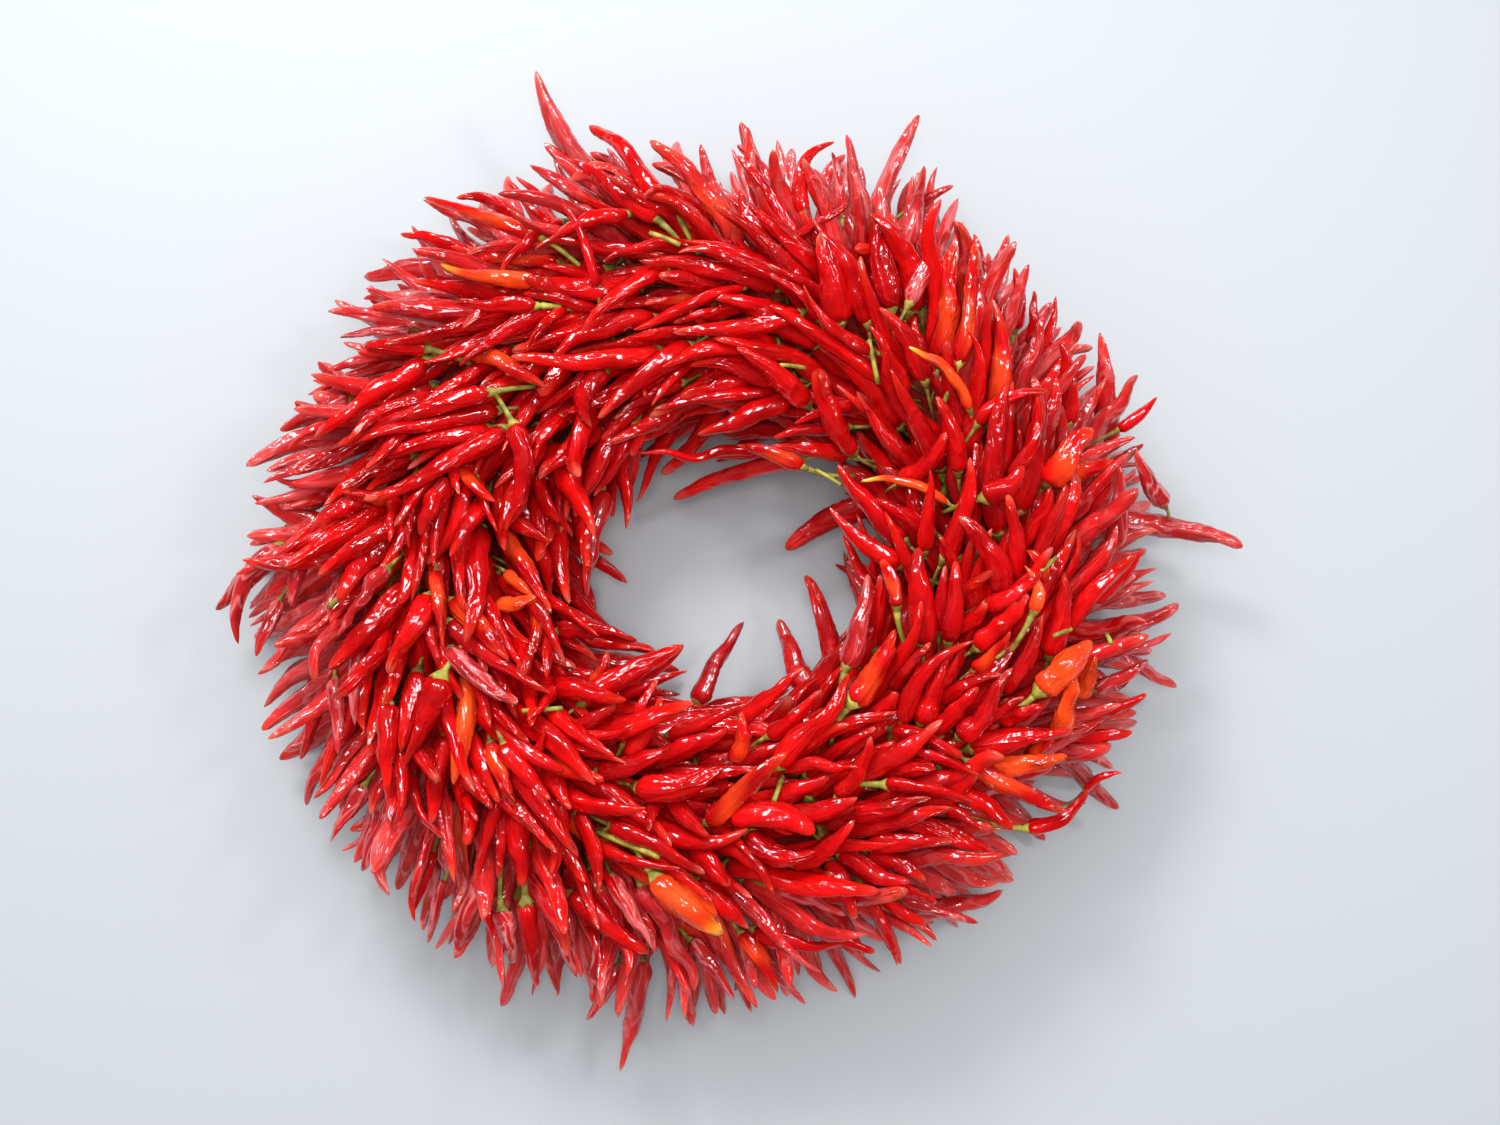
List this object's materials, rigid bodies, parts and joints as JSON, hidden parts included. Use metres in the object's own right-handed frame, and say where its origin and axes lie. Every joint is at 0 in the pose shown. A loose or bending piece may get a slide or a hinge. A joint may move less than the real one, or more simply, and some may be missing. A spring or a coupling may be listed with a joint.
{
  "type": "dried chili wreath",
  "caption": "Round wreath of dried red chilis tied in bundles that swirl round a ring, with an off-centre hole. It lies on its back with the decorated side up.",
  "frame": {"origin": "centre of the footprint, on the surface that the wreath lies on", "axes": "+Z out of the decorated front, which faces up as it lies; +Y towards the wreath's top as it hangs; +X to the viewer's right"},
  "size_m": [0.5685, 0.5509, 0.1143],
  "materials": {
    "chili": "dried glossy red skin, wrinkled",
    "stem": "dry green stalk"
  },
  "bodies": {
    "root": {"chili_bundle": "chili"}
  },
  "joints": []
}
